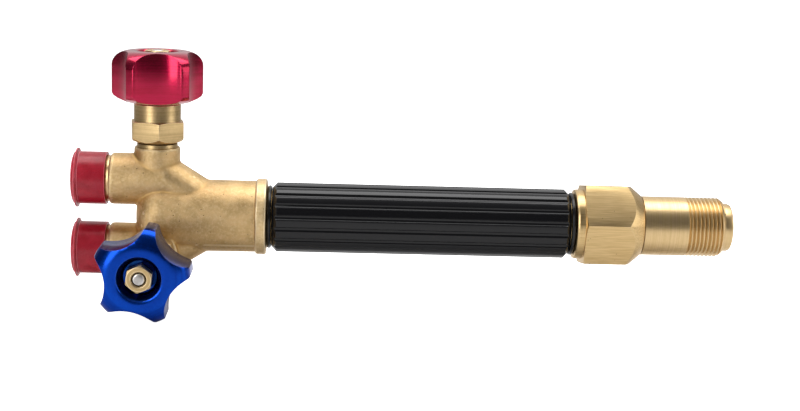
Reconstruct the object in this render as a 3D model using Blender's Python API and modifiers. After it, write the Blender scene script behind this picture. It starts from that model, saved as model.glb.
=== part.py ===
"""Handle of a gas torch for lampwork, with a fuel valve, an oxygen valve and capped inlets.

Metres, +Z up. The handle's axis runs along X, with the outlet at +X and the inlets at -X. The fuel valve
points up (+Z) and the oxygen valve points to -Y. Lengths along the handle start at the front face of the
valve body's collar. Lengths along a valve start at the axis of its inlet port and run outwards. At the end
everything is moved so that the world origin is the middle of the bounding box.
"""

import math

import bmesh
import bpy
from mathutils import Matrix, Vector

MM = 0.001
GAP = 0.3 * MM  # left between pieces that touch
FINE = 28  # steps round a large turned piece
COARSE = 16  # steps round a small one
OFF_LINE = math.radians(2.0)  # turns a crossing piece, so that its edges don't lie on another's

# Valve body
BARREL_R = 11.4 * MM
BARREL_REAR_R = 11.55 * MM
BARREL_END = -41.2 * MM
BARREL_END_ROUND = 8.0 * MM
COLLAR_R = 12.1 * MM
COLLAR_WIDTH = 3.4 * MM
SPIGOT_R = 8.6 * MM
SPIGOT_LENGTH = 10.0 * MM

# Inlet ports, one above and one below the handle's axis
PORT_R = 8.2 * MM
PORT_OFFSET = 11.3 * MM
PORT_FACE = 49.6 * MM
PORT_ROUND = 1.2 * MM
SHOULDER_START = 31.8 * MM
SHOULDER_END = 18.7 * MM
SHOULDER_DROP = 8.1 * MM
INLET_FACE = 59.2 * MM
INLET_THREAD_R = 7.14 * MM  # 9/16-18, left plain because the cap hides it
INLET_LAND_R = 7.3 * MM
INLET_LAND_END = 51.2 * MM

# Caps over the inlet threads
CAP_R = 8.35 * MM
CAP_WALL = 0.9 * MM
CAP_MOUTH = 50.7 * MM
CAP_LIP_R = 9.45 * MM
CAP_LIP_WIDTH = 0.8 * MM
CAP_DOME = 1.4 * MM

# Needle valves, alike except that the oxygen valve stands further out on a wider boss
VALVE_X = {"fuel": -35.0 * MM, "oxygen": -35.5 * MM}
REACH = {"fuel": 0.0, "oxygen": 2.8 * MM}
OXYGEN_RIM_R = 8.0 * MM
OXYGEN_RIM_TOP = 10.0 * MM
BOSS_R = 7.25 * MM
BOSS_TOP = 10.6 * MM
NECK_R = 6.4 * MM
NECK_TOP = 11.7 * MM
GLAND_THREAD_R = 5.1 * MM
GLAND_THREAD_TOP = 16.2 * MM
STEM_BORE_R = 3.7 * MM
SEAT_BORE_R = 3.0 * MM
SEAT_TOP = -1.7 * MM
ORIFICE_R = 1.1 * MM
ORIFICE_TOP = -3.1 * MM
ORIFICE_END = -5.2 * MM

GLAND_FLATS = 15.9 * MM
GLAND_HEX_BASE = 11.9 * MM
GLAND_HEX_CHAMFER = (3.1 * MM, 2.0 * MM)
GLAND_HEX_TOP = 18.3 * MM
GLAND_TURN = math.radians(9.5)
GLAND_COLLAR_R = 7.35 * MM
GLAND_TOP = 24.4 * MM
GLAND_BORE_R = 2.9 * MM
GLAND_CAVITY_R = 5.4 * MM
GLAND_CAVITY_TOP = 20.7 * MM
WASHER_THICKNESS = 1.0 * MM

STEM_R = 2.6 * MM
STEM_THREAD_R = 3.4 * MM
STEM_END_R = 1.85 * MM
NEEDLE_R = 2.3 * MM
NEEDLE_TIP_R = 0.7 * MM

KNOB_BASE = 24.7 * MM
KNOB_R = 14.8 * MM
KNOB_HEIGHT = 16.3 * MM
KNOB_BASE_R = 9.0 * MM
KNOB_RIM_LOW = 2.6 * MM
KNOB_RIM_HIGH = 11.5 * MM
KNOB_SHOULDER_ROUND = ((10.6 * MM, 15.5 * MM), (12.9 * MM, 14.6 * MM), (14.2 * MM, 13.2 * MM))
KNOB_UNDERCUT = (12.6 * MM, 1.0 * MM)
KNOB_HUB_R = 8.3 * MM
KNOB_HUB_EDGE = 0.4 * MM
KNOB_RECESS_R = 5.9 * MM
KNOB_RECESS_DEPTH = 4.0 * MM
KNOB_SHOULDER = 6.0 * MM
KNOB_LOBES = 5
NOTCH_R = 11.6 * MM
NOTCH_DISTANCE = 21.8 * MM
FUEL_KNOB_TURN = math.radians(96.5)
OXYGEN_KNOB_TURN = math.radians(78.4)
NUT_FLATS = 7.5 * MM
NUT_TURN = math.radians(-7.0)
NUT_HEIGHT = 3.8 * MM

# Grip
GRIP_START = 1.8 * MM
GRIP_END = 97.2 * MM
GRIP_R = 11.1 * MM
GRIP_BORE_R = 8.9 * MM
GRIP_CHAMFER = 1.5 * MM
FLUTES = 18
FLUTE_WIDTH = 0.4  # share of each flute's pitch
FLUTE_DEPTH = 0.5 * MM
RING_R = 0.6 * MM

# Gas tubes inside the grip
TUBE_R = 2.0 * MM
TUBE_WALL = 0.7 * MM
TUBE_SOCKET_R = 2.3 * MM
FUEL_TUBE_OFFSET = 5.2 * MM
REAR_SOCKET = -5.0 * MM
FRONT_SOCKET = 102.0 * MM
PASSAGE_R = 1.2 * MM

# Head and outlet
HEAD_START = 98.9 * MM
HEAD_COLLAR_R = 11.25 * MM
HEX_START = 101.5 * MM
HEX_END = 115.0 * MM
HEX_FLATS = 25.0 * MM
HEX_TURN = math.radians(-8.7)
HEAD_END = 120.7 * MM
HEAD_NOSE_R = 10.0 * MM
NOSE_SOCKET_R = 8.3 * MM
NOSE_SOCKET = 110.7 * MM
OUTLET_R = 9.525 * MM  # 3/4-20
OUTLET_THREAD_PITCH = 1.27 * MM
OUTLET_THREAD_END = 146.4 * MM
OUTLET_END_R = 7.7 * MM
OUTLET_FACE = 150.0 * MM
MIXER_SOCKET_R = 5.6 * MM
MIXER_SOCKET_FLOOR = 131.2 * MM
OUTLET_FUEL_OFFSET = 4.2 * MM

FORGED_BRASS = ((0.60, 0.40, 0.18, 1.0), 1.0, 0.45)
TURNED_BRASS = ((0.62, 0.44, 0.20, 1.0), 1.0, 0.30)
STEEL = ((0.50, 0.50, 0.52, 1.0), 1.0, 0.35)
RED_ANODISED = ((0.50, 0.02, 0.09, 1.0), 1.0, 0.30)
BLUE_ANODISED = ((0.01, 0.06, 0.60, 1.0), 1.0, 0.30)
RED_CAP = ((0.45, 0.02, 0.05, 1.0), 0.0, 0.45)
BLACK_PLASTIC = ((0.012, 0.012, 0.014, 1.0), 0.0, 0.25)
BLACK_RUBBER = ((0.015, 0.015, 0.015, 1.0), 0.0, 0.55)
COPPER = ((0.60, 0.28, 0.16, 1.0), 1.0, 0.35)
PACKING = ((0.70, 0.70, 0.68, 1.0), 0.0, 0.60)


def clear_scene():
    for obj in list(bpy.data.objects):
        bpy.data.objects.remove(obj, do_unlink=True)


def new_collection(name):
    collection = bpy.data.collections.new(name)
    bpy.context.scene.collection.children.link(collection)
    return collection


clear_scene()
PARTS = new_collection("lampwork_torch_handle")
CUTTERS = new_collection("cutters")


# Helpers that make, place, cut and paint a piece


def frame(name, parent=None, place=(0.0, 0.0, 0.0), turn=(0.0, 0.0, 0.0)):
    """An empty that holds an axis: its own +Z runs along the axis."""
    empty = bpy.data.objects.new(name, None)
    empty.empty_display_size = 10 * MM
    empty.parent = parent
    empty.location = place
    empty.rotation_euler = turn
    PARTS.objects.link(empty)
    return empty


def add(name, mesh, parent, finish=None, turn=0.0):
    """A part with a finish, or a cutter without one."""
    obj = bpy.data.objects.new(name, mesh)
    obj.parent = parent
    obj.rotation_euler.z = turn
    if finish is None:
        CUTTERS.objects.link(obj)
        obj.hide_render = True
        obj.display_type = "WIRE"
        return obj
    PARTS.objects.link(obj)
    mesh.materials.append(paint(name, *finish))
    return obj


def paint(name, colour, metallic, roughness):
    material = bpy.data.materials.new(name)
    material.use_nodes = True
    shader = material.node_tree.nodes["Principled BSDF"]
    shader.inputs["Base Color"].default_value = colour
    shader.inputs["Metallic"].default_value = metallic
    shader.inputs["Roughness"].default_value = roughness
    material.diffuse_color = colour
    return material


def turned(name, profile, parent, finish=None, steps=FINE, ring=False, turn=0.0):
    """Turn a profile of (radius, height) points, listed down the outside, about the parent's Z."""
    points = [(radius, 0.0, height) for radius, height in profile]
    edges = [(index, index + 1) for index in range(len(points) - 1)]
    if ring:
        edges.append((len(points) - 1, 0))
    mesh = bpy.data.meshes.new(name)
    mesh.from_pydata(points, edges, [])
    obj = add(name, mesh, parent, finish, turn)
    screw = obj.modifiers.new("Turn", "SCREW")
    screw.axis = "Z"
    screw.angle = math.tau
    screw.steps = steps
    screw.render_steps = steps
    screw.use_merge_vertices = True
    screw.merge_threshold = 0.01 * MM
    return obj


def rod(name, parent, radius, start, end, sides=24):
    """A cutter: a plain rod between two points of the parent's frame."""
    start = Vector(start)
    run = Vector(end) - start
    place = Matrix.Translation(start + run / 2) @ run.to_track_quat("Z", "Y").to_matrix().to_4x4()
    place = place @ Matrix.Rotation(2 * OFF_LINE, 4, "Z")
    bm = bmesh.new()
    bmesh.ops.create_cone(
        bm, cap_ends=True, segments=sides, radius1=radius, radius2=radius, depth=run.length, matrix=place
    )
    return from_bmesh(name, bm, parent)


def from_bmesh(name, bm, parent, turn=0.0):
    mesh = bpy.data.meshes.new(name)
    bm.to_mesh(mesh)
    bm.free()
    return add(name, mesh, parent, turn=turn)


def combine(obj, other, operation):
    boolean = obj.modifiers.new(other.name, "BOOLEAN")
    boolean.operation = operation
    boolean.object = other


def hexagon(obj, flats, low, high, turn=0.0):
    """Keep only what lies inside a hexagonal bar, which leaves the slimmer round stretches as they are."""
    bm = bmesh.new()
    corner = flats / 2 / math.cos(math.pi / 6)
    middle = Matrix.Translation((0.0, 0.0, (low + high) / 2))
    bmesh.ops.create_cone(
        bm, cap_ends=True, segments=6, radius1=corner, radius2=corner, depth=high - low, matrix=middle
    )
    bar = from_bmesh(obj.name + "_bar", bm, obj.parent, turn)
    combine(obj, bar, "INTERSECT")


def thread(crest, root, pitch, top, turns):
    """The (radius, height) points of parallel V grooves, down from the top."""
    points = []
    for turn in range(turns):
        height = top - turn * pitch
        points.append((crest, height))
        points.append((root, height - pitch / 2))
    points.append((crest, top - turns * pitch))
    return points


def round_edge(radius, height, size, corners=4):
    """Points of a rounded lower outer edge that starts on the side and ends on the face below it."""
    points = []
    for step in range(corners + 1):
        angle = math.pi / 2 * step / corners
        points.append((radius - size * (1 - math.cos(angle)), height - size * math.sin(angle)))
    return points


def extrude_end(bm, top, shift, scale):
    """Extrude the round end at the top or bottom of the mesh."""
    choose = max if top else min
    end = choose(bm.faces, key=lambda face: face.calc_center_median().z)
    new = bmesh.ops.extrude_discrete_faces(bm, faces=[end])["faces"][0]
    centre = Matrix.Translation(-new.calc_center_median())
    bmesh.ops.scale(bm, vec=(scale, scale, 1.0), verts=new.verts, space=centre)
    bmesh.ops.translate(bm, vec=shift, verts=new.verts)


# The handle's frames


HANDLE = frame("torch_handle")
AXIS = frame("handle_axis", HANDLE, turn=(0.0, math.pi / 2, 0.0))
INLETS = {}
VALVES = {}
TOPS = {}
for gas, side, lean in (("fuel", 1, 0.0), ("oxygen", -1, math.pi / 2)):
    height = side * PORT_OFFSET
    INLETS[gas] = frame(gas + "_inlet", HANDLE, (0.0, 0.0, height), (0.0, -math.pi / 2, 0.0))
    VALVES[gas] = frame(gas + "_valve", HANDLE, (VALVE_X[gas], 0.0, height), (lean, 0.0, 0.0))
    TOPS[gas] = frame(gas + "_valve_top", VALVES[gas], (0.0, 0.0, REACH[gas]))


# Valve body: one forging with a barrel, two ports, two bosses and a spigot that enters the grip


def inlet_port(gas, side):
    """A round port whose far end slopes into the barrel."""
    bm = bmesh.new()
    straight_end = PORT_FACE - PORT_ROUND
    middle = Matrix.Translation((0.0, 0.0, (straight_end + SHOULDER_START) / 2))
    bmesh.ops.create_cone(
        bm,
        cap_ends=True,
        segments=FINE,
        radius1=PORT_R,
        radius2=PORT_R,
        depth=straight_end - SHOULDER_START,
        matrix=middle @ Matrix.Rotation(OFF_LINE, 4, "Z"),
    )
    extrude_end(bm, False, (-side * SHOULDER_DROP, 0.0, SHOULDER_END - SHOULDER_START), 1.0)
    extrude_end(bm, True, (0.0, 0.0, PORT_ROUND * 0.6), 1 - 0.3 * PORT_ROUND / PORT_R)
    extrude_end(bm, True, (0.0, 0.0, PORT_ROUND * 0.4), 1 - 0.7 * PORT_ROUND / PORT_R)
    return from_bmesh(gas + "_port", bm, INLETS[gas])


def inlet_thread(gas):
    """The end that a hose nut screws onto, with a slightly wider land next to the port."""
    profile = [
        (0.0, INLET_FACE),
        (INLET_THREAD_R - 0.8 * MM, INLET_FACE),
        (INLET_THREAD_R, INLET_FACE - 0.8 * MM),
        (INLET_THREAD_R, INLET_LAND_END),
        (INLET_LAND_R, INLET_LAND_END),
        (INLET_LAND_R, SHOULDER_START + 1 * MM),
        (0.0, SHOULDER_START + 1 * MM),
    ]
    return turned(gas + "_inlet_thread", profile, INLETS[gas], turn=-OFF_LINE)


def valve_boss(gas):
    reach = REACH[gas]
    profile = [
        (0.0, GLAND_THREAD_TOP + reach),
        (GLAND_THREAD_R - 0.5 * MM, GLAND_THREAD_TOP + reach),
        (GLAND_THREAD_R, GLAND_THREAD_TOP - 0.5 * MM + reach),
        (GLAND_THREAD_R, NECK_TOP + reach),
        (NECK_R, NECK_TOP + reach),
        (NECK_R, BOSS_TOP + reach),
        (BOSS_R - 0.3 * MM, BOSS_TOP + reach),
        (BOSS_R, BOSS_TOP - 0.3 * MM + reach),
    ]
    if gas == "oxygen":
        profile += [
            (BOSS_R, OXYGEN_RIM_TOP + 0.3 * MM),
            (OXYGEN_RIM_R - 0.3 * MM, OXYGEN_RIM_TOP),
            (OXYGEN_RIM_R, OXYGEN_RIM_TOP - 0.3 * MM),
            (OXYGEN_RIM_R, 3.0 * MM),
        ]
    profile += [(BOSS_R, 2.0 * MM), (BOSS_R, ORIFICE_TOP - 1 * MM), (0.0, ORIFICE_TOP - 1 * MM)]
    return turned(gas + "_boss", profile, VALVES[gas], turn=1.5 * OFF_LINE)


def valve_bore(gas):
    profile = [
        (0.0, GLAND_THREAD_TOP + REACH[gas] + 1 * MM),
        (STEM_BORE_R, GLAND_THREAD_TOP + REACH[gas] + 1 * MM),
        (STEM_BORE_R, 2.2 * MM),
        (SEAT_BORE_R, 1.8 * MM),
        (SEAT_BORE_R, SEAT_TOP),
        (ORIFICE_R, ORIFICE_TOP),
        (ORIFICE_R, ORIFICE_END),
        (0.0, ORIFICE_END),
    ]
    return turned(gas + "_valve_bore", profile, VALVES[gas], steps=COARSE, turn=OFF_LINE)


def inlet_bore(gas):
    profile = [
        (0.0, INLET_FACE + 1 * MM),
        (5.0 * MM, INLET_FACE + 1 * MM),
        (5.0 * MM, INLET_FACE - 0.3 * MM),
        (2.5 * MM, INLET_FACE - 3.7 * MM),
        (2.5 * MM, -VALVE_X[gas]),
        (0.0, -VALVE_X[gas]),
    ]
    return turned(gas + "_inlet_bore", profile, INLETS[gas], steps=COARSE, turn=1.5 * OFF_LINE)


def valve_body():
    barrel = [
        (0.0, SPIGOT_LENGTH),
        (SPIGOT_R - 0.6 * MM, SPIGOT_LENGTH),
        (SPIGOT_R, SPIGOT_LENGTH - 0.6 * MM),
        (SPIGOT_R, 0.0),
        (COLLAR_R - 0.4 * MM, 0.0),
        (COLLAR_R, -0.4 * MM),
        (COLLAR_R, 0.4 * MM - COLLAR_WIDTH),
        (COLLAR_R - 0.4 * MM, -COLLAR_WIDTH),
        (BARREL_R, -COLLAR_WIDTH),
        *round_edge(BARREL_REAR_R, BARREL_END + BARREL_END_ROUND, BARREL_END_ROUND),
        (0.0, BARREL_END),
    ]
    body = turned("valve_body", barrel, AXIS, FORGED_BRASS)
    for gas, side in (("fuel", 1), ("oxygen", -1)):
        combine(body, inlet_port(gas, side), "UNION")
        combine(body, inlet_thread(gas), "UNION")
        combine(body, valve_boss(gas), "UNION")
    for gas in ("fuel", "oxygen"):
        combine(body, valve_bore(gas), "DIFFERENCE")
        combine(body, inlet_bore(gas), "DIFFERENCE")
    socket_floor = REAR_SOCKET
    socket_mouth = SPIGOT_LENGTH + 1 * MM
    fuel_orifice = (VALVE_X["fuel"], 0.0, PORT_OFFSET + ORIFICE_END + PASSAGE_R / 2)
    oxygen_orifice = (VALVE_X["oxygen"], -ORIFICE_END - PASSAGE_R / 2, -PORT_OFFSET)
    for gas, offset, orifice in (
        ("fuel", FUEL_TUBE_OFFSET, fuel_orifice),
        ("oxygen", 0.0, oxygen_orifice),
    ):
        floor = (socket_floor, 0.0, offset)
        mouth = (socket_mouth, 0.0, offset)
        inside = (socket_floor + 2 * MM, 0.0, offset)
        combine(body, rod(gas + "_rear_socket", HANDLE, TUBE_SOCKET_R, floor, mouth), "DIFFERENCE")
        combine(body, rod(gas + "_passage", HANDLE, PASSAGE_R, orifice, inside, 16), "DIFFERENCE")


# Needle valves


def gland_nut(gas):
    """Hexagon with a round collar above it, hollow inside for the packing."""
    corner = GLAND_FLATS / 2 / math.cos(math.pi / 6)
    profile = [
        (GLAND_COLLAR_R - 0.5 * MM, GLAND_TOP),
        (GLAND_COLLAR_R, GLAND_TOP - 0.5 * MM),
        (GLAND_COLLAR_R, GLAND_HEX_TOP),
        (corner - 0.9 * MM, GLAND_HEX_TOP),
        (corner, GLAND_HEX_TOP - 0.5 * MM),
        (corner, GLAND_HEX_BASE + GLAND_HEX_CHAMFER[1]),
        (corner - GLAND_HEX_CHAMFER[0], GLAND_HEX_BASE),
        (GLAND_CAVITY_R, GLAND_HEX_BASE),
        (GLAND_CAVITY_R, GLAND_CAVITY_TOP),
        (GLAND_BORE_R, GLAND_CAVITY_TOP),
        (GLAND_BORE_R, GLAND_TOP),
    ]
    nut = turned(gas + "_gland_nut", profile, TOPS[gas], TURNED_BRASS, ring=True)
    hexagon(nut, GLAND_FLATS, GLAND_HEX_BASE - 1 * MM, GLAND_TOP + 1 * MM, GLAND_TURN)


def packing(gas):
    """A brass washer on the end of the boss and a soft ring above it, squeezed by the gland nut."""
    outer = GLAND_CAVITY_R - GAP
    washer_low = GLAND_THREAD_TOP + GAP
    washer_top = washer_low + WASHER_THICKNESS
    for name, low, top, finish in (
        ("_packing_washer", washer_low, washer_top, TURNED_BRASS),
        ("_packing", washer_top + GAP, GLAND_CAVITY_TOP - GAP, PACKING),
    ):
        profile = [(outer, top), (outer, low), (GLAND_BORE_R, low), (GLAND_BORE_R, top)]
        turned(gas + name, profile, TOPS[gas], finish, COARSE, ring=True)


def stem(gas):
    """Needle, screw thread, shoulder under the knob and the slim end that the nut screws on."""
    reach = REACH[gas]
    top = KNOB_BASE + KNOB_HEIGHT + 0.3 * MM + reach
    shoulder = KNOB_BASE + KNOB_SHOULDER - GAP + reach
    lift = 0.4 * MM
    slope = (SEAT_TOP - ORIFICE_TOP) / (SEAT_BORE_R - ORIFICE_R)
    needle_top = ORIFICE_TOP + (NEEDLE_R - ORIFICE_R) * slope + lift
    needle_tip = ORIFICE_TOP + (NEEDLE_TIP_R - ORIFICE_R) * slope + lift
    profile = [
        (0.0, top),
        (STEM_END_R - 0.7 * MM, top - 0.1 * MM),
        (STEM_END_R, top - 0.6 * MM),
        (STEM_END_R, shoulder),
        (STEM_R, shoulder),
        (STEM_R, 12.0 * MM + reach),
        (STEM_THREAD_R, 11.5 * MM + reach),
        (STEM_THREAD_R, 3.0 * MM),
        (NEEDLE_R, 2.5 * MM),
        (NEEDLE_R, needle_top),
        (NEEDLE_TIP_R, needle_tip),
        (0.0, needle_tip),
    ]
    turned(gas + "_stem", profile, VALVES[gas], STEEL, COARSE)


def knob(gas, finish, turn):
    """A turned knob with a notch between each two lobes. One lobe points to the angle turn."""
    profile = [
        (KNOB_HUB_R - KNOB_HUB_EDGE, KNOB_HEIGHT),
        (KNOB_HUB_R, KNOB_HEIGHT - KNOB_HUB_EDGE),
        *KNOB_SHOULDER_ROUND,
        (KNOB_R, KNOB_RIM_HIGH),
        (KNOB_R, KNOB_RIM_LOW),
        KNOB_UNDERCUT,
        (KNOB_BASE_R, 0.0),
        (STEM_R + GAP, 0.0),
        (STEM_R + GAP, KNOB_SHOULDER),
        (STEM_END_R + GAP, KNOB_SHOULDER),
        (STEM_END_R + GAP, KNOB_HEIGHT - KNOB_RECESS_DEPTH),
        (KNOB_RECESS_R, KNOB_HEIGHT - KNOB_RECESS_DEPTH),
        (KNOB_RECESS_R, KNOB_HEIGHT - 0.6 * MM),
        (KNOB_RECESS_R + 0.6 * MM, KNOB_HEIGHT),
    ]
    profile = [(radius, KNOB_BASE + height) for radius, height in profile]
    body = turned(gas + "_knob", profile, TOPS[gas], finish, 40, ring=True, turn=turn)
    bm = bmesh.new()
    for lobe in range(KNOB_LOBES):
        angle = (lobe + 0.5) * math.tau / KNOB_LOBES
        place = (
            NOTCH_DISTANCE * math.cos(angle),
            NOTCH_DISTANCE * math.sin(angle),
            KNOB_BASE + KNOB_HEIGHT / 2,
        )
        bmesh.ops.create_cone(
            bm,
            cap_ends=True,
            segments=FINE,
            radius1=NOTCH_R,
            radius2=NOTCH_R,
            depth=KNOB_HEIGHT + 2 * MM,
            matrix=Matrix.Translation(place),
        )
    combine(body, from_bmesh(gas + "_knob_notches", bm, TOPS[gas], turn), "DIFFERENCE")


def knob_nut(gas):
    low = KNOB_BASE + KNOB_HEIGHT - KNOB_RECESS_DEPTH + GAP
    top = low + NUT_HEIGHT
    corner = NUT_FLATS / 2 / math.cos(math.pi / 6)
    profile = [
        (corner - 0.6 * MM, top),
        (corner, top - 0.35 * MM),
        (corner, low),
        (STEM_END_R + GAP, low),
        (STEM_END_R + GAP, top),
    ]
    nut = turned(gas + "_knob_nut", profile, TOPS[gas], TURNED_BRASS, COARSE, ring=True)
    hexagon(nut, NUT_FLATS, low - 1 * MM, top + 1 * MM, NUT_TURN)


def inlet_cap(gas):
    lip_top = INLET_FACE + GAP + 0.9 * MM
    lip_low = lip_top - CAP_LIP_WIDTH
    inner = CAP_R - CAP_WALL
    profile = [
        (0.0, lip_top + CAP_DOME),
        (0.5 * CAP_R, lip_top + 0.95 * CAP_DOME),
        (0.85 * CAP_R, lip_top + 0.75 * CAP_DOME),
        (0.97 * CAP_R, lip_top + 0.5 * CAP_DOME),
        (CAP_R, lip_top),
        (CAP_LIP_R, lip_top),
        (CAP_LIP_R, lip_low),
        (CAP_R, lip_low),
        (CAP_R, CAP_MOUTH),
        (inner, CAP_MOUTH),
        (inner, INLET_FACE + GAP),
        (0.0, INLET_FACE + GAP),
    ]
    turned(gas + "_inlet_cap", profile, INLETS[gas], RED_CAP)


# Grip


def grip_tube():
    """A tube with shallow flutes along it and chamfered ends."""
    outline = bpy.data.curves.new("grip_outline", "CURVE")
    outline.dimensions = "2D"
    outline.fill_mode = "BOTH"
    outline.extrude = (GRIP_END - GRIP_START) / 2
    outer = []
    pitch = math.tau / FLUTES
    for flute in range(FLUTES):
        middle = flute * pitch
        half = FLUTE_WIDTH * pitch / 2
        for share, depth in ((-1.0, 0.0), (-0.5, 0.75), (0.0, 1.0), (0.5, 0.75), (1.0, 0.0)):
            radius = GRIP_R - depth * FLUTE_DEPTH
            angle = middle + share * half
            outer.append((radius * math.cos(angle), radius * math.sin(angle)))
    inner = []
    for step in range(FINE):
        angle = step * math.tau / FINE
        inner.append((GRIP_BORE_R * math.cos(angle), GRIP_BORE_R * math.sin(angle)))
    for ring in (outer, inner):
        spline = outline.splines.new("POLY")
        spline.points.add(len(ring) - 1)
        spline.use_cyclic_u = True
        for point, (x, y) in zip(spline.points, ring):
            point.co = (x, y, 0.0, 1.0)
    guide = bpy.data.objects.new("grip_outline", outline)
    CUTTERS.objects.link(guide)
    guide.parent = AXIS
    guide.location.z = (GRIP_START + GRIP_END) / 2
    bpy.context.view_layer.update()
    graph = bpy.context.evaluated_depsgraph_get()
    mesh = bpy.data.meshes.new_from_object(guide.evaluated_get(graph))
    bm = bmesh.new()
    bm.from_mesh(mesh)
    bmesh.ops.remove_doubles(bm, verts=bm.verts, dist=0.01 * MM)
    bm.to_mesh(mesh)
    bm.free()
    mesh.materials.clear()
    grip = add("grip_tube", mesh, AXIS, BLACK_PLASTIC)
    grip.location = guide.location
    bpy.data.objects.remove(guide)
    blank = [
        (0.0, GRIP_END + 1 * MM),
        (GRIP_R - GRIP_CHAMFER - 1 * MM, GRIP_END + 1 * MM),
        (GRIP_R + 1 * MM, GRIP_END - GRIP_CHAMFER - 1 * MM),
        (GRIP_R + 1 * MM, GRIP_START + GRIP_CHAMFER + 1 * MM),
        (GRIP_R - GRIP_CHAMFER - 1 * MM, GRIP_START - 1 * MM),
        (0.0, GRIP_START - 1 * MM),
    ]
    combine(grip, turned("grip_blank", blank, AXIS), "INTERSECT")


def grip_rings():
    """The rubber rings that close the joints at both ends of the grip."""
    rear = GRIP_START / 2
    front = (GRIP_END + HEAD_START) / 2
    for name, height in (("rear_grip_ring", rear), ("front_grip_ring", front)):
        profile = []
        for step in range(6):
            angle = math.pi / 2 - step * math.tau / 6
            radius = SPIGOT_R + GAP + RING_R * (1 + math.cos(angle))
            profile.append((radius, height + RING_R * math.sin(angle)))
        turned(name, profile, AXIS, BLACK_RUBBER, ring=True)


def gas_tubes():
    low = REAR_SOCKET + GAP
    top = FRONT_SOCKET - GAP
    inner = TUBE_R - TUBE_WALL
    profile = [(TUBE_R, top), (TUBE_R, low), (inner, low), (inner, top)]
    fuel_axis = frame("fuel_tube_axis", HANDLE, (0.0, 0.0, FUEL_TUBE_OFFSET), (0.0, math.pi / 2, 0.0))
    turned("oxygen_tube", profile, AXIS, COPPER, COARSE, ring=True)
    turned("fuel_tube", profile, fuel_axis, COPPER, COARSE, ring=True)


# Head and outlet


def head():
    """The hexagon in front of the grip, with a spigot that enters it and a socket for the outlet."""
    corner = HEX_FLATS / 2 / math.cos(math.pi / 6)
    spigot_end = HEAD_START - SPIGOT_LENGTH
    profile = [
        (0.0, HEAD_END),
        (HEAD_NOSE_R - 0.4 * MM, HEAD_END),
        (HEAD_NOSE_R, HEAD_END - 0.4 * MM),
        (corner, HEX_END),
        (corner, HEX_START + 0.4 * MM),
        (corner - 1.4 * MM, HEX_START),
        *round_edge(HEAD_COLLAR_R, HEAD_START + 0.8 * MM, 0.8 * MM),
        (SPIGOT_R, HEAD_START),
        (SPIGOT_R, spigot_end + 0.6 * MM),
        (SPIGOT_R - 0.6 * MM, spigot_end),
        (0.0, spigot_end),
    ]
    profile.insert(6, (HEAD_COLLAR_R, HEX_START))
    block = turned("head", profile, AXIS, TURNED_BRASS)
    hexagon(block, HEX_FLATS, spigot_end - 1 * MM, HEAD_END + 1 * MM, HEX_TURN)
    socket_floor = (NOSE_SOCKET, 0.0, 0.0)
    socket_mouth = (HEAD_END + 1 * MM, 0.0, 0.0)
    combine(block, rod("nose_socket", HANDLE, NOSE_SOCKET_R, socket_floor, socket_mouth, FINE), "DIFFERENCE")
    for gas, offset in (("fuel", FUEL_TUBE_OFFSET), ("oxygen", 0.0)):
        mouth = (spigot_end - 1 * MM, 0.0, offset)
        floor = (FRONT_SOCKET, 0.0, offset)
        inside = (FRONT_SOCKET - 2 * MM, 0.0, offset)
        beyond = (NOSE_SOCKET + 1 * MM, 0.0, offset)
        combine(block, rod(gas + "_front_socket", HANDLE, TUBE_SOCKET_R, mouth, floor), "DIFFERENCE")
        combine(block, rod(gas + "_head_passage", HANDLE, PASSAGE_R, inside, beyond, 16), "DIFFERENCE")


def outlet_spigot():
    """The threaded nose that a mixer and tip screw onto."""
    tail = NOSE_SOCKET + GAP
    root = OUTLET_R - 0.6134 * OUTLET_THREAD_PITCH
    profile = [
        (0.0, OUTLET_FACE),
        (OUTLET_END_R - 0.7 * MM, OUTLET_FACE),
        (OUTLET_END_R, OUTLET_FACE - 1.1 * MM),
        (OUTLET_END_R, OUTLET_THREAD_END + OUTLET_THREAD_PITCH / 2),
        (root, OUTLET_THREAD_END + OUTLET_THREAD_PITCH / 2),
        *thread(OUTLET_R, root, OUTLET_THREAD_PITCH, OUTLET_THREAD_END, 9),
        (OUTLET_R, HEAD_END + GAP),
        (NOSE_SOCKET_R - GAP, HEAD_END + GAP),
        (NOSE_SOCKET_R - GAP, tail),
        (0.0, tail),
    ]
    spigot = turned("outlet_spigot", profile, AXIS, TURNED_BRASS)
    socket = [
        (0.0, OUTLET_FACE + 1 * MM),
        (MIXER_SOCKET_R, OUTLET_FACE + 1 * MM),
        (MIXER_SOCKET_R, MIXER_SOCKET_FLOOR + 1.5 * MM),
        (2.6 * MM, MIXER_SOCKET_FLOOR),
        (0.0, MIXER_SOCKET_FLOOR),
    ]
    combine(spigot, turned("mixer_socket", socket, AXIS, steps=COARSE, turn=OFF_LINE), "DIFFERENCE")
    for gas, offset in (("fuel", OUTLET_FUEL_OFFSET), ("oxygen", 0.0)):
        start = (tail - 1 * MM, 0.0, offset)
        end = (MIXER_SOCKET_FLOOR + 2 * MM, 0.0, offset)
        combine(spigot, rod(gas + "_outlet_passage", HANDLE, 1.0 * MM, start, end, 16), "DIFFERENCE")


# Finishing


def settle(obj, graph):
    """Keep the finished mesh and shade it smooth with crisp edges."""
    mesh = bpy.data.meshes.new_from_object(obj.evaluated_get(graph))
    mesh.name = obj.name
    mesh.shade_smooth()
    mesh.set_sharp_from_angle(angle=math.radians(30.0))
    return mesh


def centre_on_origin():
    """Move the handle so that the world origin is the middle of its bounding box."""
    bpy.context.view_layer.update()
    corners = []
    for obj in PARTS.objects:
        if obj.type == "MESH":
            corners += [obj.matrix_world @ vertex.co for vertex in obj.data.vertices]
    low = Vector([min(corner[axis] for corner in corners) for axis in range(3)])
    high = Vector([max(corner[axis] for corner in corners) for axis in range(3)])
    HANDLE.location = -(low + high) / 2


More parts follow.
